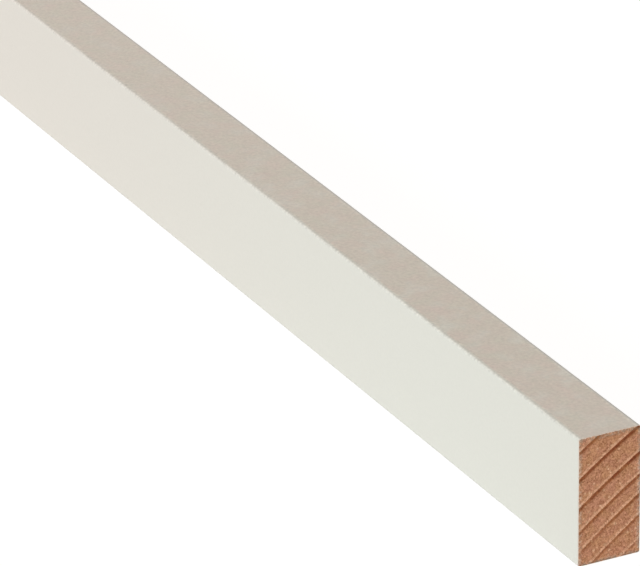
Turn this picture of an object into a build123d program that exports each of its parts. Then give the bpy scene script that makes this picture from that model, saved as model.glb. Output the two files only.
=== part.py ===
from build123d import *
import os

# A rectangular moulding strip: one length of planed pine, painted white along its four
# long faces and sawn square at both ends.
#
# +X runs along the strip, +Y is its back. It stands on a narrow edge, with the origin in
# the middle of that edge, and its wide show face looks towards -Y.

# Driving dimensions, in millimetres
STOCK_LENGTH = 900.0  # the shorter of the lengths that such strips are sold in
FACE_WIDTH = 20.0  # the two wide faces, upright as it stands
EDGE_WIDTH = 10.0  # the two narrow edges
ARRIS_RADIUS = 0.3  # the sanded corner between a face and an edge, over its paint


def strip_section(cut_plane):
    """The strip's outline across the grain, standing on its narrow edge, with four eased corners."""
    with BuildSketch(cut_plane) as section:
        RectangleRounded(EDGE_WIDTH, FACE_WIDTH, ARRIS_RADIUS, align=(Align.CENTER, Align.MIN))
    return section.sketch


def moulding_strip():
    """The section run along the grain from the far sawn end to the near one."""
    far_end = Plane.YZ.offset(-STOCK_LENGTH / 2)
    return extrude(strip_section(far_end), amount=STOCK_LENGTH)


os.makedirs("parts", exist_ok=True)
export_step(moulding_strip(), "parts/moulding_strip.step")
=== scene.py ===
import math
import bpy
import numpy as np
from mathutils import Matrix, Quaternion, Vector, noise


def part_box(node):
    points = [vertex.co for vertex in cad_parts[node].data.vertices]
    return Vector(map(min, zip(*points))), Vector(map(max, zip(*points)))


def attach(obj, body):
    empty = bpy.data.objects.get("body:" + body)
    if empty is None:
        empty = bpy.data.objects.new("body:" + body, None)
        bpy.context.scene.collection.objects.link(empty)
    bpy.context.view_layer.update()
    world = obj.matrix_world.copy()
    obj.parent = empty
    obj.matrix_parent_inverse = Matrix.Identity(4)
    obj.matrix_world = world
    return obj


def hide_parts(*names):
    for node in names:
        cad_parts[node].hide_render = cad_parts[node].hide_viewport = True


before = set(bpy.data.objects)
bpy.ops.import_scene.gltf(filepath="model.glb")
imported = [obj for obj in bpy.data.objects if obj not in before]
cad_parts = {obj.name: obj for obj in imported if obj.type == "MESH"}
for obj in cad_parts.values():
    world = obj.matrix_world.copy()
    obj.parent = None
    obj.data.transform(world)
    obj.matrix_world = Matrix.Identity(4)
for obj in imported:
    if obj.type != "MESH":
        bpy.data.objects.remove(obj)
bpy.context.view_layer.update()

# The strip is one length of pine, painted white along its four long faces and sawn bare
# at both ends. +X runs along it, -Y is its wide show face and it stands on a narrow edge.
MM = 0.001
LOW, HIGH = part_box("moulding_strip")
LENGTH = HIGH.x - LOW.x
ARRIS = 0.3 * MM  # radius of the sanded long corners
ARRIS_STEPS = 6

# The sawn ends are meshed finely enough to carry the relief of the growth rings
END_CELL = 0.12 * MM
BARE_ROWS = (0.4, 0.75)  # rows of points between the core and the film, as shares of the way
FILM = 0.05 * MM  # thickness of primer and paint
THINNEST_FILM = 0.1  # where the saw chipped it most, as a share of that
CHIP_SIZE = 0.3  # mm round the section from one chip to the next
# How deep the saw chipped the film's inner edge, on each side of the section
FILM_CHIPS = {"-Y": 0.03 * MM, "+Z": 0.09 * MM, "+Y": 0.03 * MM, "-Z": 0.05 * MM}
# Painted shade along the rim of a sawn end, just inside the film, least on the show face's side: how
# much, and how far in it reaches
RIM_SHADE = {"-Y": 0.15, "+Z": 0.33, "+Y": 0.5, "-Z": 0.6}
RIM_SHADE_REACH = {"-Y": 0.24 * MM, "+Z": 0.8 * MM, "+Y": 0.24 * MM, "-Z": 0.4 * MM}

# Stations along the strip: close together behind each sawn end, then evenly spaced
END_STATIONS = [0.15 * MM, 0.6 * MM, 2.0 * MM, 5.0 * MM]
STATION_GAP = 10.0 * MM
ARRIS_WANDER = 0.02 * MM  # the sanding isn't quite even along an arris
WANDER_RUN = 35.0 * MM

# Paint gathers along an arris and is thinner on the rest of a narrow edge, where the thin coat's warmer,
# darker tone is also painted shade
EDGE_THIN_AND_SHADE = 0.5  # as a share of a full coat
COAT_FADE = 0.5 * MM
# Along each arris the narrow edge's side is painted a little grey, as painted shade: least at the top of
# the show face, more at its foot, and most at the back
ARRIS_SHADE_REACH = 0.3 * MM
ARRIS_SHADE_TOP, ARRIS_SHADE_FOOT, ARRIS_SHADE_BACK = 0.15, 0.5, 1.0
SCUFF_ON_EDGE, SCUFF_ON_FACE = 1.1 * MM, 0.5 * MM  # how far in from an arris its dents reach

# The tree: its pith lay outside the strip, and the rings are arcs about it. Radii in mm
PITH_Y, PITH_Z = 71.65, -90.45
PITH_DRIFT = 1.5  # the grain isn't quite parallel to the strip, over its whole length
RING_RADII = (114.25, 117.4, 120.2, 122.7, 125.7, 129.33, 132.75)
# How dark and hard each ring's late wood is, at the front side of an end and at its back
RINGS_IN_FRONT = (0.30, 0.36, 0.34, 0.50, 0.55, 0.68, 0.58)
RINGS_AT_BACK = (0.10, 0.72, 0.80, 0.68, 1.00, 0.84, 0.58)
BACK_ROUND = 8.0  # mm round the trunk from the middle to either of those
YEAR_BEFORE, YEAR_AFTER = 3.0, 3.3  # widths of the first and last years, cut off by the section
SPRING_WOOD, SPRING_SHARE = 0.5, 0.2  # a year's first growth, in mm and as a share of the year
AUTUMN_LEAST, AUTUMN_SHARE = 0.45, 0.25  # and its last
AUTUMN_MORE = 0.57  # mm, how much wider the last growth is where it is hardest
RING_WAVER = 0.05  # mm, how far a ring strays from its arc
SLOW_WAVER, QUICK_WAVER, WAVER_RUN = 6.0, 1.3, 90.0  # mm round the trunk, and along it
MIDDLE_ANGLE = math.atan2(HIGH.z / MM / 2 - PITH_Z, PITH_Y)  # from the pith to the section's middle

# Depths of the sawn end's relief, in mm
RING_RELIEF = 0.035
FIBRE_RELIEF = 0.012
RIM_RELIEF, RIM_REACH = 0.04, 0.12  # the saw broke the rim away, this far in
# How far the soft wood lies below the hard: shares of the year, and of the relief at each
YEAR_RELIEF = ((0.0, 0.05, 0.5, 0.8, 0.9, 1.0), (0.25, 1.0, 0.8, 0.6, 0.0, 0.0))

# Where the camera stands: it looks at a point of the show face, back from the near end
AIM_BACK, AIM_UP = 79.63 * MM, 12.53 * MM
CAMERA_DISTANCE = 840.9 * MM
CAMERA_AZIMUTH, CAMERA_ELEVATION, CAMERA_ROLL = 63.22, 24.25, 0.78
CAMERA_LENS = 311.4


def linear(colour):
    """The linear RGBA of an sRGB hex value."""
    parts = [int(colour[i:i + 2], 16) / 255 for i in (0, 2, 4)]
    return [p / 12.92 if p <= 0.04045 else ((p + 0.055) / 1.055) ** 2.4 for p in parts] + [1.0]


def grey(level):
    """The linear RGBA of a grey."""
    return [level, level, level, 1.0]


def add(tree, kind, inputs=None, **settings):
    """Adds a node with its settings, and its inputs as values or links, and returns it."""
    made = tree.nodes.new(kind)
    for name, value in settings.items():
        setattr(made, name, value)
    for socket, value in (inputs or {}).items():
        if isinstance(value, bpy.types.NodeSocket):
            tree.links.new(value, made.inputs[socket])
        else:
            made.inputs[socket].default_value = value
    return made


def set_stops(ramp, stops):
    """Gives a colour ramp these stops: a place, and a linear colour or a grey's level."""
    elements = ramp.color_ramp.elements
    while len(elements) < len(stops):
        elements.new(1.0)
    for element, (place, colour) in zip(elements, stops):
        element.position = place
        element.color = grey(colour) if isinstance(colour, float) else colour


# Shape of the wood

def waver(round_mm, along_mm):
    """How far a ring strays from its arc, in mm."""
    slow = noise.noise(Vector((round_mm / SLOW_WAVER, along_mm / WAVER_RUN, 3.1)))
    quick = noise.noise(Vector((round_mm / QUICK_WAVER, along_mm / WAVER_RUN, 8.7)))
    return RING_WAVER * (slow + 0.5 * quick)


def tree_place(point):
    """A point of the strip as (along the trunk, round the rings, out from the pith), in mm."""
    x, y, z = (c / MM for c in point)
    drift = PITH_DRIFT * (HIGH.x / MM - x) / (LENGTH / MM)
    across, up = PITH_Y + drift - y, z - PITH_Z
    radius = math.hypot(across, up)
    round_mm = (math.atan2(up, across) - MIDDLE_ANGLE) * radius
    return x, round_mm, radius + waver(round_mm, x)


def hardness(year, round_mm):
    """How dark and hard the late wood is in a year, at a place round the trunk, from 0 to 1."""
    counted = range(1, len(RING_RADII) + 1)
    front, back = (np.interp(year, counted, rings) for rings in (RINGS_IN_FRONT, RINGS_AT_BACK))
    return float(np.interp(round_mm, (-BACK_ROUND, BACK_ROUND), (front, back)))


def growth():
    """Radii, and the year of growth at each: whole numbers at the outer side of each dark ring
    line. Spring and autumn take the same share of a wide year and of a narrow one."""
    lines = (RING_RADII[0] - YEAR_BEFORE, *RING_RADII, RING_RADII[-1] + YEAR_AFTER)
    radii, years = [], []
    for i in range(len(lines) - 1):
        autumn = AUTUMN_LEAST + AUTUMN_MORE * hardness(i + 1, 0.0)
        radii += [lines[i], lines[i] + SPRING_WOOD, lines[i + 1] - autumn]
        years += [i, i + SPRING_SHARE, i + 1 - AUTUMN_SHARE]
    return radii + [lines[-1]], years + [len(lines) - 1]


GROWTH = growth()


def year_of(radius):
    """The year of growth at a radius, and how far it had got, as one number."""
    return float(np.interp(radius, *GROWTH))


def end_depth(point, from_rim):
    """How deep a point of a sawn end lies behind the end's plane, in metres."""
    along, round_mm, radius = tree_place(point)
    year = year_of(radius)
    rings = hardness(year, round_mm) * float(np.interp(year % 1.0, *YEAR_RELIEF))
    fibres = noise.noise(Vector((round_mm / 0.3, radius / 0.6, along)))
    pits = noise.noise(Vector((round_mm / 0.5, radius / 0.5, along + 7.0)))
    rim = math.exp(-((from_rim / (RIM_REACH * MM)) ** 2))
    depth = RING_RELIEF * rings + RIM_RELIEF * rim
    depth += FIBRE_RELIEF * (1.0 + 0.6 * fibres + 0.4 * pits)
    return max(depth, 0.0) * MM


# Shape of the section

def spokes():
    """Around the section, counter-clockwise as seen from the near end: for each point of the
    outline, the point of the core that it stands over, the direction between them and how
    deep the film is chipped there. Also how many cells the core has across and up."""
    across = round((HIGH.y - LOW.y - 2 * ARRIS) / END_CELL)
    up = round((HIGH.z - LOW.z - 2 * ARRIS) / END_CELL)
    # For each side: the grid point that it starts over, its way round, its cells, where it
    # faces in degrees, and its name
    sides = (
        ((0, 0), (1, 0), across, -90.0, "-Z"),
        ((across, 0), (0, 1), up, 0.0, "+Y"),
        ((across, up), (-1, 0), across, 90.0, "+Z"),
        ((0, up), (0, -1), up, 180.0, "-Y"),
    )
    found = []
    for (column, row), (right, rise), cells, facing, side in sides:
        for i in range(cells + 1):
            found.append(((column + i * right, row + i * rise), facing, FILM_CHIPS[side]))
        corner = (column + cells * right, row + cells * rise)
        for k in range(1, ARRIS_STEPS):
            found.append((corner, facing + 90.0 * k / ARRIS_STEPS, FILM_CHIPS[side]))
    return found, across, up


SPOKES, CELLS_ACROSS, CELLS_UP = spokes()


def core_point(column, row):
    """(y, z) of a grid point of the core, which is the section less its arris radius."""
    return (
        LOW.y + ARRIS + (HIGH.y - LOW.y - 2 * ARRIS) * column / CELLS_ACROSS,
        LOW.z + ARRIS + (HIGH.z - LOW.z - 2 * ARRIS) * row / CELLS_UP,
    )


def spoke_point(spoke, reach):
    """(y, z) at a distance along a spoke from the core."""
    (column, row), facing, _ = spoke
    y, z = core_point(column, row)
    angle = math.radians(facing)
    return y + reach * math.cos(angle), z + reach * math.sin(angle)


def end_rows(end):
    """Distances from the core of the rows between it and the outline, for one spoke at a time:
    two of bare wood, the paint film's inner edge, which the saw left chipped, and the outline."""
    rows = []
    for i, (_, _, chips) in enumerate(SPOKES):
        ragged = noise.noise(Vector((i * END_CELL / MM / CHIP_SIZE, end, 5.0)))
        film = ARRIS - max(FILM + chips * ragged, THINNEST_FILM * FILM)
        rows.append([share * film for share in BARE_ROWS] + [film, ARRIS])
    return rows


def rim_distance(y, z):
    """How far a point of the section lies inside its outline."""
    beyond_y = max(LOW.y + ARRIS - y, y - HIGH.y + ARRIS, 0.0)
    beyond_z = max(LOW.z + ARRIS - z, z - HIGH.z + ARRIS, 0.0)
    outside = math.hypot(beyond_y, beyond_z)
    inside = min(y - LOW.y, HIGH.y - y, z - LOW.z, HIGH.z - z) - ARRIS
    return ARRIS - outside if outside > 0.0 else ARRIS + inside


def rim_shade_at(y, z):
    """How much painted shade a point of a sawn end carries along its rim, by the nearest sides."""
    insets = {"-Y": y - LOW.y, "+Y": HIGH.y - y, "-Z": z - LOW.z, "+Z": HIGH.z - z}
    shares = {side: max(1.0 - inset / RIM_SHADE_REACH[side], 0.0) for side, inset in insets.items()}
    return max(RIM_SHADE[side] * min(2.0 * share, 1.0) for side, share in shares.items())


# State of the paint

def inset_on(spoke):
    """How far in from its arris a spoke meets a narrow edge's flat, and 0 off those flats."""
    (column, row), facing, _ = spoke
    if abs(facing) != 90.0:
        return 0.0
    y, _ = core_point(column, row)
    return min(y - LOW.y, HIGH.y - y) - ARRIS


def coat_on(spoke):
    """How full the paint is where a spoke meets the outline, from 0 to 1; the thin coat on a narrow
    edge's flat also paints shade there.
    """
    return 1.0 - EDGE_THIN_AND_SHADE * min(inset_on(spoke) / COAT_FADE, 1.0)


def arris_shade_on(spoke):
    """How much painted shade a spoke's place on the outline gets along an arris, from 0 to 1."""
    (column, row), facing, _ = spoke
    turned = min(2.0 * abs(math.sin(math.radians(facing))), 1.0)
    front = ARRIS_SHADE_FOOT if row == 0 else ARRIS_SHADE_TOP
    side = front if column < CELLS_ACROSS / 2 else ARRIS_SHADE_BACK
    return side * turned * max(1.0 - inset_on(spoke) / ARRIS_SHADE_REACH, 0.0)


def scuff_at(y, z):
    """How near a point of the outline is to an arris, from 0 to 1: there the paint is dented."""
    across = min(y - LOW.y, HIGH.y - y)
    up = min(z - LOW.z, HIGH.z - z)
    return max(1.0 - max(across / SCUFF_ON_EDGE, up / SCUFF_ON_FACE), 0.0)


# The strip's mesh

PAINT, BARE = 0, 1  # the finishes of its faces
MAP_MARGIN = 0.012  # kept clear round each part of the baking map
SHARP_TURN = 50  # degrees: the sawn corner stays crisp, and the arrises are smooth


class StripMesh:
    """Collects the strip's points, faces and finishes, and the map that these can be baked on."""

    def __init__(self):
        self.points, self.places, self.values = [], [], []
        self.faces, self.finish, self.map = [], [], []

    def point(self, x, y, z, spoke=None):
        """Adds a point, with what the wood is like there, and the paint if it is on a spoke, and
        returns its number."""
        place = tree_place((x, y, z))
        self.points.append((x, y, z))
        self.places.append(place)
        self.values.append({
            "year": year_of(place[2]),
            "rim": min(rim_distance(y, z) / MM, 1.0),
            "rim_shade": rim_shade_at(y, z),
            "coat": coat_on(spoke) if spoke else 1.0,
            "arris_shade": arris_shade_on(spoke) if spoke else 0.0,
            "scuff": scuff_at(y, z),
        })
        return len(self.points) - 1

    def face(self, corners, places, finish):
        """Adds a face, without a corner that repeats the one before it."""
        kept = [i for i in range(len(corners)) if corners[i] != corners[i - 1]]
        self.faces.append([corners[i] for i in kept])
        self.map.extend(places[i] for i in kept)
        self.finish.append(finish)


def end_place(end, y, z):
    """Where a point of a sawn end lies on the baking map: each end has a quarter of it."""
    size = 0.5 - 2 * MAP_MARGIN
    u = MAP_MARGIN + size * (y - LOW.y) / (HIGH.y - LOW.y) + (0.5 if end < 0 else 0.0)
    v = 0.5 + MAP_MARGIN + size * (z - LOW.z) / (HIGH.z - LOW.z)
    return u, v


def side_place(x, share_round):
    """Where a point of the long faces lies on the baking map: they unroll into its lower half."""
    u = MAP_MARGIN + (1.0 - 2 * MAP_MARGIN) * (x - LOW.x) / LENGTH
    v = MAP_MARGIN + (0.5 - 2 * MAP_MARGIN) * share_round
    return u, v


def add_end(mesh, end):
    """Adds a sawn end, the near one for end +1 and the far one for -1. Returns its outline."""
    plane = HIGH.x if end > 0 else LOW.x
    flat = {}

    def end_point(y, z, spoke=None):
        depth = end_depth((plane, y, z), rim_distance(y, z))
        index = mesh.point(plane - end * depth, y, z, spoke)
        flat[index] = end_place(end, y, z)
        return index

    def end_face(corners, finish):
        ordered = corners if end > 0 else corners[::-1]
        mesh.face(ordered, [flat[c] for c in ordered], finish)

    columns, levels = range(CELLS_ACROSS + 1), range(CELLS_UP + 1)
    core = [[end_point(*core_point(column, row)) for column in columns] for row in levels]
    for lower, upper in zip(core, core[1:]):
        for c in range(CELLS_ACROSS):
            end_face([lower[c], lower[c + 1], upper[c + 1], upper[c]], BARE)

    inner = [core[row][column] for (column, row), _, _ in SPOKES]
    reaches = end_rows(end)
    for band in range(len(reaches[0])):
        outer = []
        for spoke, rows in zip(SPOKES, reaches):
            outer.append(end_point(*spoke_point(spoke, rows[band]), spoke))
        finish = PAINT if band == len(reaches[0]) - 1 else BARE
        for i in range(len(SPOKES)):
            j = (i + 1) % len(SPOKES)
            end_face([inner[i], outer[i], outer[j], inner[j]], finish)
        inner = outer
    return inner


def stations():
    """Places along the strip between its two ends."""
    far = [LOW.x + gap for gap in END_STATIONS]
    near = [HIGH.x - gap for gap in reversed(END_STATIONS)]
    count = round((near[0] - far[-1]) / STATION_GAP)
    between = [far[-1] + (near[0] - far[-1]) * i / count for i in range(1, count)]
    return far + between + near


def side_ring(mesh, x):
    """Adds one outline of the section at x, with the arris a little uneven."""
    ring = []
    for spoke in SPOKES:
        (column, row), facing, _ = spoke
        on_arris = abs(math.sin(math.radians(2 * facing)))
        uneven = 0.5 + 0.5 * noise.noise(Vector((x / WANDER_RUN, column, row)))
        y, z = spoke_point(spoke, ARRIS - ARRIS_WANDER * on_arris * uneven)
        ring.append(mesh.point(x, y, z, spoke))
    return ring


def shares_round():
    """How far round the section each spoke stands, from 0 to 1, by length of outline."""
    outline = [Vector(spoke_point(spoke, ARRIS)) for spoke in SPOKES]
    steps = [(outline[(i + 1) % len(outline)] - p).length for i, p in enumerate(outline)]
    return np.concatenate(([0.0], np.cumsum(steps))) / sum(steps)


def add_sides(mesh, far_outline, near_outline):
    """Joins the two ends' outlines by the four painted faces and their arrises."""
    places = [LOW.x, *stations(), HIGH.x]
    rings = [far_outline, *(side_ring(mesh, x) for x in places[1:-1]), near_outline]
    share = shares_round()
    for k in range(len(rings) - 1):
        for i in range(len(SPOKES)):
            j = (i + 1) % len(SPOKES)
            corners = [rings[k][i], rings[k][j], rings[k + 1][j], rings[k + 1][i]]
            ends = ((k, i), (k, i + 1), (k + 1, i + 1), (k + 1, i))
            mesh.face(corners, [side_place(places[s], share[r]) for s, r in ends], PAINT)


def strip_object():
    """The strip as one closed mesh, with the tree's own places stored at its points."""
    mesh = StripMesh()
    far_outline = add_end(mesh, -1)
    near_outline = add_end(mesh, +1)
    add_sides(mesh, far_outline, near_outline)
    data = bpy.data.meshes.new("white_pine_strip")
    data.from_pydata(mesh.points, [], mesh.faces)
    data.polygons.foreach_set("material_index", mesh.finish)
    data.polygons.foreach_set("use_smooth", [True] * len(mesh.faces))
    unrolled = data.uv_layers.new(name="OFBake")
    unrolled.uv.foreach_set("vector", np.array(mesh.map, np.float32).ravel())
    tree = data.attributes.new("tree", "FLOAT_VECTOR", "POINT")
    tree.data.foreach_set("vector", np.array(mesh.places, np.float32).ravel())
    for name in mesh.values[0]:
        stored = data.attributes.new(name, "FLOAT", "POINT")
        stored.data.foreach_set("value", [values[name] for values in mesh.values])
    data.set_sharp_from_angle(angle=math.radians(SHARP_TURN))
    data.validate()
    strip = bpy.data.objects.new("white_pine_strip", data)
    bpy.context.scene.collection.objects.link(strip)
    return strip


# Finishes

# Nearly all of a noise pattern lies in the first of these ranges, and most of it in the second
WIDE_SWING = {"From Min": 0.3, "From Max": 0.7}
CLOSE_SWING = {"From Min": 0.35, "From Max": 0.65}


def new_material(name):
    """A material with no nodes yet."""
    material = bpy.data.materials.new(name)
    material.use_nodes = True
    material.node_tree.nodes.clear()
    return material


def read_points(tree, *names):
    """What is stored at the mesh's points: a place for the first name, a number for the rest."""
    nodes = [add(tree, "ShaderNodeAttribute", attribute_name=name) for name in names]
    return [nodes[0].outputs["Vector"]] + [node.outputs["Fac"] for node in nodes[1:]]


# Sizes in mm of what shows in the paint
PEEL_SIZE = 0.7  # the pebbling of sprayed paint
FIBRE_SIZE, FIBRE_RUN = 0.4, 25.0  # planed fibres under it, across and along the grain
MOTTLE_SIZE = 0.5  # where a thin coat lets the wood's warmth through
CLOUD_SIZE = 4.0  # patches over which a thin coat is thinner still
BLUSH_SIZE = 3.0  # and over which the wood's pink shows through it, or the primer's grey green
GUN_PASS = 380.0  # the coat's tint swings a little from one pass of the spray gun to the next
SAW_BRUISE = 0.4  # how far behind a sawn end the coat is bruised
SAND_SIZE = 0.5  # dents and scuffs that the sander left along the arrises; the same pattern makes the painted shade there uneven
PEEL_DEPTH, FIBRE_DEPTH, RIDGE_DEPTH, DENT_DEPTH = 0.012, 0.006, 0.006, 0.08

# Colours of the paint, and shares of them
GUN_START = 0.74  # radians into the spray gun's swing at the middle of the strip
FULL_COAT = ("E5DFD5", "E5E5DB")  # at the two ends of that swing
# the thin coat is warmer and darker, partly as painted shade on the narrow edges
THIN_COAT_AND_SHADE = ("E4DBCE", "E0D7CA")
PINK_CAST, GREEN_CAST = (1.05, 0.965, 1.0, 1.0), (0.95, 1.035, 1.0, 1.0)
CLOUD_LEAST, CLOUD_MOST = 0.42, 1.58  # how thin the coat is in a patch, next to the mean
# How strongly a full coat is mottled, and what a thin coat and a scuffed one add to that
MOTTLE, MOTTLE_THIN, MOTTLE_SCUFFED = 0.05, 0.6, 1.05
ARRIS_SHADE_GREY, ARRIS_SHADE_LEAST, ARRIS_SHADE_MOST = "ABA49C", 0.2, 0.7  # the grey of the painted shade along the arrises, and the least and most of it
BRUISED, BRUISE_MOST = "DDB79C", 0.35  # pine showing where the saw bruised the paint
SHEEN_LEAST, SHEEN_MOST = 0.42, 0.52  # the roughness of a satin coat, over its peel
# The late wood's lines stand up under the paint, as (share of the year, share of their height)
RIDGE_STOPS = [(0.0, 0.9), (0.06, 0.0), (0.7, 0.1), (0.92, 1.0)]


def coat_tones(tree, along):
    """The colours of a full coat and of a thin one, which swing a little along the strip. The thin one
    is also painted shade on the narrow edges.
    """
    turn = add(tree, "ShaderNodeMath",
               {0: along, 1: math.tau / GUN_PASS, 2: GUN_START}, operation="MULTIPLY_ADD")
    swing = add(tree, "ShaderNodeMath", {0: turn.outputs[0]}, operation="SINE")
    gun = add(tree, "ShaderNodeMapRange",
              {"Value": swing.outputs[0], "From Min": -1.0, "From Max": 1.0})
    tones = []
    for one, other in (FULL_COAT, THIN_COAT_AND_SHADE):
        tone = add(tree, "ShaderNodeMix",
                   {0: gun.outputs[0], 6: linear(one), 7: linear(other)}, data_type="RGBA")
        tones.append(tone.outputs[2])
    return tones


def clouded_coat(tree, place, gap, full, thin):
    """The coat's colour: cloudy where it is thin, with a cast of the pine or of the primer. Where it is
    thin, its tone is also painted shade.
    """
    cloud = add(tree, "ShaderNodeTexNoise",
                {"Vector": place, "Scale": 1 / CLOUD_SIZE, "Detail": 3.0})
    clouded = add(tree, "ShaderNodeMapRange",
                  {"Value": cloud.outputs["Fac"], **WIDE_SWING,
                   "To Min": CLOUD_LEAST / EDGE_THIN_AND_SHADE, "To Max": CLOUD_MOST / EDGE_THIN_AND_SHADE})
    showing = add(tree, "ShaderNodeMath", {0: gap, 1: clouded.outputs[0]}, operation="MULTIPLY")
    blush = add(tree, "ShaderNodeTexNoise",
                {"Vector": place, "Scale": 1 / BLUSH_SIZE, "Detail": 4.0})
    cast = add(tree, "ShaderNodeMix",
               {0: blush.outputs["Fac"], 6: PINK_CAST, 7: GREEN_CAST}, data_type="RGBA")
    primed = add(tree, "ShaderNodeVectorMath", {0: thin, 1: cast.outputs[2]}, operation="MULTIPLY")
    tone = add(tree, "ShaderNodeMix",
               {0: showing.outputs[0], 6: full, 7: primed.outputs[0]}, data_type="RGBA")
    return tone.outputs[2]


def mottled(tree, place, gap, scuff, colour):
    """A colour made lighter and darker in specks, more on a thin coat and beside an arris."""
    mottle = add(tree, "ShaderNodeTexNoise",
                 {"Vector": place, "Scale": 1 / MOTTLE_SIZE, "Detail": 4.0})
    worn = add(tree, "ShaderNodeMath",
               {0: scuff, 1: MOTTLE_SCUFFED, 2: MOTTLE}, operation="MULTIPLY_ADD")
    spread = add(tree, "ShaderNodeMath",
                 {0: gap, 1: MOTTLE_THIN, 2: worn.outputs[0]}, operation="MULTIPLY_ADD")
    off = add(tree, "ShaderNodeMath", {0: mottle.outputs["Fac"], 1: -0.5}, operation="ADD")
    level = add(tree, "ShaderNodeMath",
                {0: off.outputs[0], 1: spread.outputs[0], 2: 1.0}, operation="MULTIPLY_ADD")
    scaled = add(tree, "ShaderNodeVectorMath",
                 {0: colour, "Scale": level.outputs[0]}, operation="SCALE")
    return scaled.outputs[0]


def shaded_and_bruised(tree, along, arris_shade, sanded, colour):
    """A colour greyed along an arris as painted shade, and browned by the saw beside an end."""
    uneven = add(tree, "ShaderNodeMapRange",
                 {"Value": sanded, **CLOSE_SWING, "To Min": ARRIS_SHADE_LEAST, "To Max": ARRIS_SHADE_MOST})
    # painted shade along the arris, uneven over its length
    laid_on = add(tree, "ShaderNodeMath", {0: arris_shade, 1: uneven.outputs[0]}, operation="MULTIPLY")
    arris_shaded = add(tree, "ShaderNodeMix",
                 {0: laid_on.outputs[0], 6: colour, 7: linear(ARRIS_SHADE_GREY)}, data_type="RGBA")
    from_middle = add(tree, "ShaderNodeMath", {0: along}, operation="ABSOLUTE")
    bruised = add(tree, "ShaderNodeMapRange",
                  {"Value": from_middle.outputs[0], "From Min": LENGTH / MM / 2 - SAW_BRUISE,
                   "From Max": LENGTH / MM / 2, "To Max": BRUISE_MOST})
    browned = add(tree, "ShaderNodeMix",
                  {0: bruised.outputs[0], 6: arris_shaded.outputs[2], 7: linear(BRUISED)},
                  data_type="RGBA")
    return browned.outputs[2]


def paint_relief(tree, place, year, scuff, sanded, peel):
    """The paint's fine relief: ring lines and planed fibres under it, its orange peel, and the
    sander's dents along the arrises."""
    share = add(tree, "ShaderNodeMath", {0: year}, operation="FRACT")
    ridge = add(tree, "ShaderNodeValToRGB", {"Fac": share.outputs[0]})
    set_stops(ridge, RIDGE_STOPS)
    run = add(tree, "ShaderNodeMapping",
              {"Vector": place, "Scale": (1 / FIBRE_RUN, 1 / FIBRE_SIZE, 1 / FIBRE_SIZE)})
    fibre = add(tree, "ShaderNodeTexNoise", {"Vector": run.outputs[0], "Scale": 1.0, "Detail": 2.0})
    nick = add(tree, "ShaderNodeMath", {0: sanded, 1: -0.5}, operation="ADD")
    dent = add(tree, "ShaderNodeMath", {0: nick.outputs[0], 1: scuff}, operation="MULTIPLY")
    raised = add(tree, "ShaderNodeBump", {"Height": ridge.outputs[0], "Distance": RIDGE_DEPTH * MM})
    for height, depth in ((fibre.outputs["Fac"], FIBRE_DEPTH), (peel, PEEL_DEPTH),
                          (dent.outputs[0], DENT_DEPTH)):
        raised = add(tree, "ShaderNodeBump",
                     {"Height": height, "Distance": depth * MM, "Normal": raised.outputs[0]})
    return raised.outputs[0]


def satin_white_paint():
    """Satin acrylic paint, sprayed over primer on planed pine: an even warm white with a soft sheen and
    a faint orange peel, beige where it is thin, which is also painted shade on the narrow edges, greyed
    by painted shade along the arrises, and with the late wood's lines raised."""
    material = new_material("satin_white_paint")
    tree = material.node_tree
    place, year, coat, arris_shade, scuff = read_points(tree, "tree", "year", "coat", "arris_shade", "scuff")
    along = add(tree, "ShaderNodeSeparateXYZ", {0: place}).outputs[0]
    # how thin the coat is; on the narrow edges this also paints shade
    gap = add(tree, "ShaderNodeMath", {0: 1.0, 1: coat}, operation="SUBTRACT").outputs[0]
    sanded = add(tree, "ShaderNodeTexNoise",
                 {"Vector": place, "Scale": 1 / SAND_SIZE, "Detail": 3.0}).outputs["Fac"]
    peel = add(tree, "ShaderNodeTexNoise",
               {"Vector": place, "Scale": 1 / PEEL_SIZE, "Detail": 2.0}).outputs["Fac"]
    coated = clouded_coat(tree, place, gap, *coat_tones(tree, along))
    specked = mottled(tree, place, gap, scuff, coated)
    sheen = add(tree, "ShaderNodeMapRange", {"Value": peel, "To Min": SHEEN_LEAST, "To Max": SHEEN_MOST})
    surface = add(tree, "ShaderNodeBsdfPrincipled", {
        "Base Color": shaded_and_bruised(tree, along, arris_shade, sanded, specked),
        "Roughness": sheen.outputs[0], "IOR": 1.48,
        "Normal": paint_relief(tree, place, year, scuff, sanded, peel),
    })
    add(tree, "ShaderNodeOutputMaterial", {"Surface": surface.outputs[0]})
    return material


# Sizes in mm of what shows on a sawn end
PATCH_SIZE = 1.4  # wood that took up a little more or less resin
CELL_SIZE = 0.27  # torn bunches of fibres; single fibres are ten times finer, too fine to draw
CELL_BLUR = 0.6  # how softly one bunch runs into the next
DUST_SIZE = 0.18  # saw dust and torn cell walls
STREAK_SIZE, STREAK_RUN = 0.5, 2.5  # faint bands within a year, across and along it
CANAL_SIZE = 0.6  # one resin canal to a patch of this size at most
CANALS_FROM, CANALS_ALL = 0.78, 0.86  # so about one patch in six has a canal
CANAL_CORE, CANAL_EDGE = 0.22, 0.45  # its radius, as a share of the patch
FADE_SIZE = 1.6  # stretches over which a ring line is darker or fainter
FADE_LEAST, FADE_MOST = 0.8, 1.1  # next to its own strength
SPECK_DEPTH = 0.04

# Colours of the sawn wood, and shares of them
EARLY_WOOD = ("BD8359", "BD805D")
# pale first growth, also a painted highlight on the step just outside each ring line
FIRST_GROWTH_HIGHLIGHT = "D69D76"
RESIN_DOT, RESIN_MOST = "DFAE84", 0.62
PASTE = "C6B9A2"  # paint that the saw smeared over the rim
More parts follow.
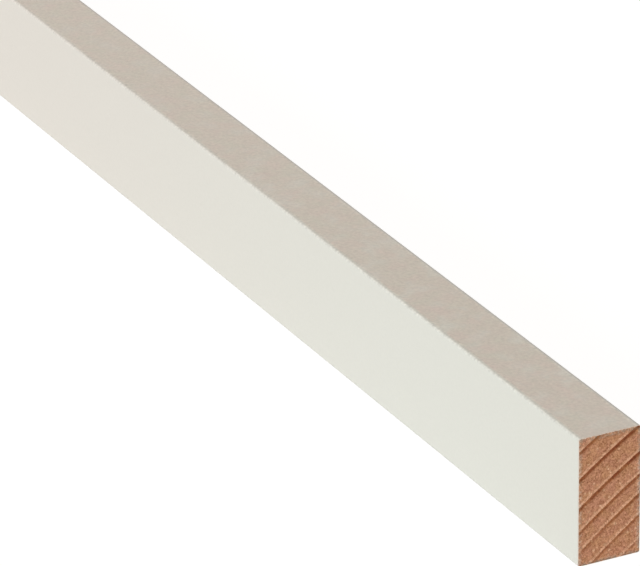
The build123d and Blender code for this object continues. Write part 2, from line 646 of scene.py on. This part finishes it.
# painted shade along a sawn end's rim
RIM_SHADE_COLOUR = "6B5944"
BROKEN_LEAST = 0.2  # how much of either a bunch of fibres takes up at least
LATE_STAIN = (0.63, 0.48, 0.33, 1.0)  # what late wood lets through, next to early wood
RESIN_STAIN = (0.34, 0.11, 0.015, 1.0)  # and the hardest, full of resin, which is redder
PORE_PAINTED_SHADE = (0.41, 0.30, 0.18, 1.0)  # painted shade: a torn pore darker and redder than the wood round it
FLUFF_PAINTED_LIGHT = (1.55, 1.79, 2.14, 1.0)  # and painted light: a tuft of fibre paler and greyer
DUST_PART, STREAK_PART = 0.5, 0.12  # of the specks, mixed in one after the other
# Pale first growth, also a painted highlight on the step outside each ring line, and dark last growth,
# as (share of the year, strength)
SPRING_HIGHLIGHT_STOPS = [(0.0, 0.75), (0.05, 0.92), (0.12, 0.92), (0.19, 0.0)]
AUTUMN_STOPS = [(0.74, 0.0), (0.82, 0.25), (0.88, 0.85), (0.93, 1.0), (1.0, 0.75)]
PASTE_STOPS = [(0.05, 0.55), (0.25, 0.38), (0.7, 0.0)]  # by mm in from the rim


def early_wood(tree, place):
    """Orange-brown early wood, in patches a little redder or yellower."""
    patch = add(tree, "ShaderNodeTexNoise",
                {"Vector": place, "Scale": 1 / PATCH_SIZE, "Detail": 2.0})
    tint = add(tree, "ShaderNodeMapRange", {"Value": patch.outputs["Fac"], **CLOSE_SWING})
    yellower, redder = (linear(colour) for colour in EARLY_WOOD)
    early = add(tree, "ShaderNodeMix",
                {0: tint.outputs[0], 6: yellower, 7: redder}, data_type="RGBA")
    return early.outputs[2]


def with_spring_growth_and_highlight(tree, share, faint, wood):
    """The wood with each year's pale first growth, just outside the dark line before it, which is also a
    painted highlight of the step there.
    """
    spring = add(tree, "ShaderNodeValToRGB", {"Fac": share})
    set_stops(spring, SPRING_HIGHLIGHT_STOPS)
    pale = add(tree, "ShaderNodeMath", {0: spring.outputs[0], 1: faint}, operation="MULTIPLY")
    grown = add(tree, "ShaderNodeMix",
                {0: pale.outputs[0], 6: wood, 7: linear(FIRST_GROWTH_HIGHLIGHT)}, data_type="RGBA")
    return grown.outputs[2]


def with_resin_canals(tree, place, wood):
    """The wood with a few pale dots of resin."""
    canals = add(tree, "ShaderNodeTexVoronoi", {"Vector": place, "Scale": 1 / CANAL_SIZE})
    chosen = add(tree, "ShaderNodeSeparateColor", {0: canals.outputs["Color"]})
    some = add(tree, "ShaderNodeMapRange",
               {"Value": chosen.outputs[1], "From Min": CANALS_FROM, "From Max": CANALS_ALL})
    dot = add(tree, "ShaderNodeMapRange",
              {"Value": canals.outputs["Distance"], "From Min": CANAL_CORE, "From Max": CANAL_EDGE,
               "To Min": RESIN_MOST, "To Max": 0.0})
    resin = add(tree, "ShaderNodeMath", {0: some.outputs[0], 1: dot.outputs[0]}, operation="MULTIPLY")
    resined = add(tree, "ShaderNodeMix",
                  {0: resin.outputs[0], 6: wood, 7: linear(RESIN_DOT)}, data_type="RGBA")
    return resined.outputs[2]


def with_paste(tree, rim, broken, wood):
    """The wood with paint smeared over its rim by the saw."""
    laid_on = add(tree, "ShaderNodeValToRGB", {"Fac": rim})
    set_stops(laid_on, PASTE_STOPS)
    pasty = add(tree, "ShaderNodeMath", {0: laid_on.outputs[0], 1: broken}, operation="MULTIPLY")
    painted = add(tree, "ShaderNodeMix",
                  {0: pasty.outputs[0], 6: wood, 7: linear(PASTE)}, data_type="RGBA")
    return painted.outputs[2]


def ring_strength(tree, place, year):
    """How dark each ring line is, from its strength at the front of an end to that at its back."""
    count = add(tree, "ShaderNodeMath", {0: year, 1: float(len(RING_RADII) + 1)}, operation="DIVIDE")
    sides = []
    for levels in (RINGS_IN_FRONT, RINGS_AT_BACK):
        side = add(tree, "ShaderNodeValToRGB", {"Fac": count.outputs[0]})
        set_stops(side, [((i + 1) / (len(levels) + 1), level) for i, level in enumerate(levels)])
        sides.append(side.outputs[0])
    round_trunk = add(tree, "ShaderNodeSeparateXYZ", {0: place}).outputs[1]
    backward = add(tree, "ShaderNodeMapRange",
                   {"Value": round_trunk, "From Min": -BACK_ROUND, "From Max": BACK_ROUND})
    strength = add(tree, "ShaderNodeMix",
                   {0: backward.outputs[0], 6: sides[0], 7: sides[1]}, data_type="RGBA")
    return strength.outputs[2]


def with_ring_lines(tree, share, faint, strength, wood):
    """The wood stained by the dark late wood at the end of each year."""
    autumn = add(tree, "ShaderNodeValToRGB", {"Fac": share})
    set_stops(autumn, AUTUMN_STOPS)
    hard = add(tree, "ShaderNodeMath", {0: strength, 1: autumn.outputs[0]}, operation="MULTIPLY")
    dark = add(tree, "ShaderNodeMath",
               {0: hard.outputs[0], 1: faint}, operation="MULTIPLY", use_clamp=True)
    late = add(tree, "ShaderNodeValToRGB", {"Fac": dark.outputs[0]})
    set_stops(late, [(0.0, 1.0), (0.5, LATE_STAIN), (1.0, RESIN_STAIN)])
    ringed = add(tree, "ShaderNodeVectorMath", {0: wood, 1: late.outputs[0]}, operation="MULTIPLY")
    return ringed.outputs[0]


def specks(tree, place, bunch):
    """Light and dark of the torn wood, which colours it as painted light and shade and drives its bump:
    bunches of fibres, dust, and faint bands in each year.
    """
    dust = add(tree, "ShaderNodeTexNoise", {"Vector": place, "Scale": 1 / DUST_SIZE, "Detail": 2.0})
    dusted = add(tree, "ShaderNodeMapRange", {"Value": dust.outputs["Fac"], **WIDE_SWING})
    curve = add(tree, "ShaderNodeMapping",
                {"Vector": place, "Scale": (1.0, 1 / STREAK_RUN, 1 / STREAK_SIZE)})
    streak = add(tree, "ShaderNodeTexNoise",
                 {"Vector": curve.outputs[0], "Scale": 1.0, "Detail": 2.0})
    streaked = add(tree, "ShaderNodeMapRange", {"Value": streak.outputs["Fac"], **WIDE_SWING})
    grain = add(tree, "ShaderNodeMix", {0: DUST_PART, 2: bunch, 3: dusted.outputs[0]})
    mixed = add(tree, "ShaderNodeMix", {0: STREAK_PART, 2: grain.outputs[0], 3: streaked.outputs[0]})
    return mixed.outputs[0]


def sawn_pine_end():
    """Pine cut across the grain by a saw: matt orange-brown early wood with specks of torn fibre,
    coloured lighter and darker as painted light and shade, and ring lines of dark late wood that end
    sharply at next year's pale growth, with a painted highlight there and painted shade along the rim."""
    material = new_material("sawn_pine_end")
    tree = material.node_tree
    place, year, rim, rim_shade = read_points(tree, "tree", "year", "rim", "rim_shade")
    share = add(tree, "ShaderNodeMath", {0: year}, operation="FRACT").outputs[0]
    fade = add(tree, "ShaderNodeTexNoise", {"Vector": place, "Scale": 1 / FADE_SIZE, "Detail": 3.0})
    faint = add(tree, "ShaderNodeMapRange",
                {"Value": fade.outputs["Fac"], "From Min": 0.3, "From Max": 0.6,
                 "To Min": FADE_LEAST, "To Max": FADE_MOST}).outputs[0]
    torn = add(tree, "ShaderNodeTexVoronoi",
               {"Vector": place, "Scale": 1 / CELL_SIZE, "Smoothness": CELL_BLUR},
               feature="SMOOTH_F1")
    bunch = add(tree, "ShaderNodeSeparateColor", {0: torn.outputs["Color"]})
    broken = add(tree, "ShaderNodeMapRange",
                 {"Value": bunch.outputs[1], "From Min": 0.3, "From Max": 0.6,
                  "To Min": BROKEN_LEAST, "To Max": 1.0}).outputs[0]

    wood = with_spring_growth_and_highlight(tree, share, faint, early_wood(tree, place))
    wood = with_paste(tree, rim, broken, with_resin_canals(tree, place, wood))
    wood = with_ring_lines(tree, share, faint, ring_strength(tree, place, year), wood)
    speck = specks(tree, place, bunch.outputs[0])
    # painted light and shade: tufts of fibre lighter, pores darker
    painted_light_and_shade = add(tree, "ShaderNodeMix", {0: speck, 6: PORE_PAINTED_SHADE, 7: FLUFF_PAINTED_LIGHT}, data_type="RGBA")
    specked = add(tree, "ShaderNodeVectorMath", {0: wood, 1: painted_light_and_shade.outputs[2]}, operation="MULTIPLY")
    # painted shade along the rim, broken up by the bunches of fibre
    rim_shaded = add(tree, "ShaderNodeMath", {0: rim_shade, 1: broken}, operation="MULTIPLY")
    colour = add(tree, "ShaderNodeMix",
                 {0: rim_shaded.outputs[0], 6: specked.outputs[0], 7: linear(RIM_SHADE_COLOUR)},
                 data_type="RGBA")
    rough = add(tree, "ShaderNodeBump", {"Height": speck, "Distance": SPECK_DEPTH * MM})
    surface = add(tree, "ShaderNodeBsdfPrincipled",
                  {"Base Color": colour.outputs[2], "Roughness": 0.85, "IOR": 1.4,
                   "Normal": rough.outputs[0]})
    add(tree, "ShaderNodeOutputMaterial", {"Surface": surface.outputs[0]})
    return material


# Floor, light and camera

FLOOR_RADIUS = 30.0
FLOOR_SHADE = 0.3  # how much of the floor's look comes from the lamps, and so shows the shadow
FLOOR_GLOW = 0.86  # and how much doesn't
FLOOR_BOUNCE = 0.5  # the grey of the board that the strip itself is lit by
FILL_COLOUR, FILL_LEVEL = "FFF6EE", 0.5  # light from all round


def seen_directly(tree):
    """1 for a ray that the camera, a mirror or a glass sends, and 0 for one that lights things."""
    path = add(tree, "ShaderNodeLightPath")
    either = add(tree, "ShaderNodeMath",
                 {0: path.outputs["Is Camera Ray"], 1: path.outputs["Is Glossy Ray"]},
                 operation="MAXIMUM")
    any_of = add(tree, "ShaderNodeMath",
                 {0: either.outputs[0], 1: path.outputs["Is Transmission Ray"]},
                 operation="MAXIMUM")
    return any_of.outputs[0]


def studio_floor():
    """A white floor. It shows as white with a soft shadow, and lights the strip as a grey board."""
    material = new_material("studio_floor")
    tree = material.node_tree
    board = add(tree, "ShaderNodeBsdfDiffuse", {"Color": grey(FLOOR_BOUNCE)})
    shaded = add(tree, "ShaderNodeBsdfDiffuse", {"Color": grey(FLOOR_SHADE)})
    glow = add(tree, "ShaderNodeEmission", {"Color": grey(1.0), "Strength": FLOOR_GLOW})
    shown = add(tree, "ShaderNodeAddShader", {0: shaded.outputs[0], 1: glow.outputs[0]})
    mixed = add(tree, "ShaderNodeMixShader",
                {0: seen_directly(tree), 1: board.outputs[0], 2: shown.outputs[0]})
    add(tree, "ShaderNodeOutputMaterial", {"Surface": mixed.outputs[0]})
    ways = ((-1, -1), (1, -1), (1, 1), (-1, 1))
    corners = [(FLOOR_RADIUS * x, FLOOR_RADIUS * y, LOW.z) for x, y in ways]
    data = bpy.data.meshes.new("studio_floor")
    data.from_pydata(corners, [], [(0, 1, 2, 3)])
    data.materials.append(material)
    floor = bpy.data.objects.new("studio_floor", data)
    bpy.context.scene.collection.objects.link(floor)


def studio_surround():
    """White where the camera looks past the floor, and a weak warm light from all round."""
    world = bpy.data.worlds.new("studio_surround")
    world.use_nodes = True
    tree = world.node_tree
    tree.nodes.clear()
    white = add(tree, "ShaderNodeBackground", {"Color": grey(1.0), "Strength": 1.0})
    fill = add(tree, "ShaderNodeBackground",
               {"Color": linear(FILL_COLOUR), "Strength": FILL_LEVEL})
    mixed = add(tree, "ShaderNodeMixShader",
                {0: seen_directly(tree), 1: fill.outputs[0], 2: white.outputs[0]})
    add(tree, "ShaderNodeOutputWorld", {"Surface": mixed.outputs[0]})
    bpy.context.scene.world = world


def soft_lamp(name, towards, level, colour, spread):
    """A wide distant lamp. A face turned straight to it shows its own colour at level 1."""
    data = bpy.data.lights.new(name, "SUN")
    data.energy = level * math.pi
    data.color = linear(colour)[:3]
    data.angle = math.radians(spread)
    lamp = bpy.data.objects.new(name, data)
    lamp.rotation_mode = "QUATERNION"
    lamp.rotation_quaternion = Vector(towards).to_track_quat("Z", "Y")
    bpy.context.scene.collection.objects.link(lamp)


def camera_on_near_end():
    """A long lens, from above the near end, on a point of the show face."""
    azimuth, elevation = math.radians(CAMERA_AZIMUTH), math.radians(CAMERA_ELEVATION)
    back = Vector((
        math.sin(azimuth) * math.cos(elevation),
        -math.cos(azimuth) * math.cos(elevation),
        math.sin(elevation),
    ))
    data = bpy.data.cameras.new("camera")
    data.lens = CAMERA_LENS
    data.clip_start, data.clip_end = 0.05, 100.0
    camera = bpy.data.objects.new("camera", data)
    camera.location = Vector((HIGH.x - AIM_BACK, LOW.y, LOW.z + AIM_UP)) + back * CAMERA_DISTANCE
    camera.rotation_mode = "QUATERNION"
    upright = (-back).to_track_quat("-Z", "Y")
    camera.rotation_quaternion = upright @ Quaternion((0.0, 0.0, 1.0), math.radians(-CAMERA_ROLL))
    bpy.context.scene.collection.objects.link(camera)
    bpy.context.scene.camera = camera


strip = strip_object()
strip.data.materials.append(satin_white_paint())
strip.data.materials.append(sawn_pine_end())
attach(strip, "root")
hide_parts("moulding_strip")

studio_floor()
studio_surround()
soft_lamp("key_lamp", towards=(0.62, -0.75, 0.22), level=0.78, colour="F4FAFF", spread=30)
camera_on_near_end()
bpy.context.scene.view_settings.view_transform = "Standard"
